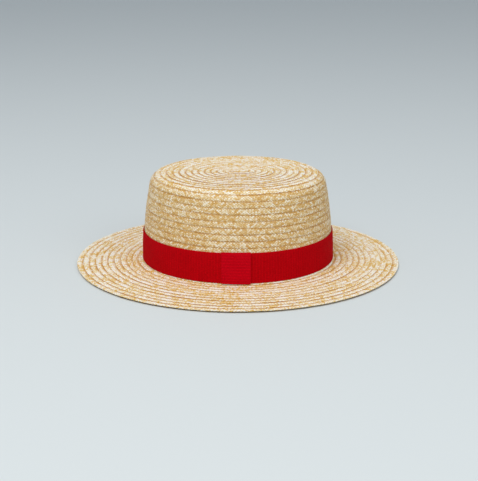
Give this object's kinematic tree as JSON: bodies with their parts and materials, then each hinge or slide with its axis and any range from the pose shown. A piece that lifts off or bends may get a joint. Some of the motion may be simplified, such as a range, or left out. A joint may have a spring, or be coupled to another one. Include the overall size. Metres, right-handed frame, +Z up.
{
  "type": "straw boater hat",
  "caption": "Straw boater hat with a flat-topped crown, a flat round brim and a red ribbed ribbon band with a plain tab.",
  "frame": {"origin": "centre of the hat's oval, on the flat surface that the brim rests on", "axes": "+Z up through the crown, X along the oval's long axis (front to back on the head), -Y towards the ribbon's tab"},
  "size_m": [0.326, 0.314, 0.0926],
  "materials": {
    "crown_straw": "satin",
    "brim_straw": "satin",
    "band_ribbon": "ribbed",
    "tab_ribbon": "ribbed"
  },
  "bodies": {
    "root": {"crown": "crown_straw", "brim": "brim_straw", "ribbon_band": "band_ribbon", "ribbon_tab": "tab_ribbon"}
  },
  "joints": []
}
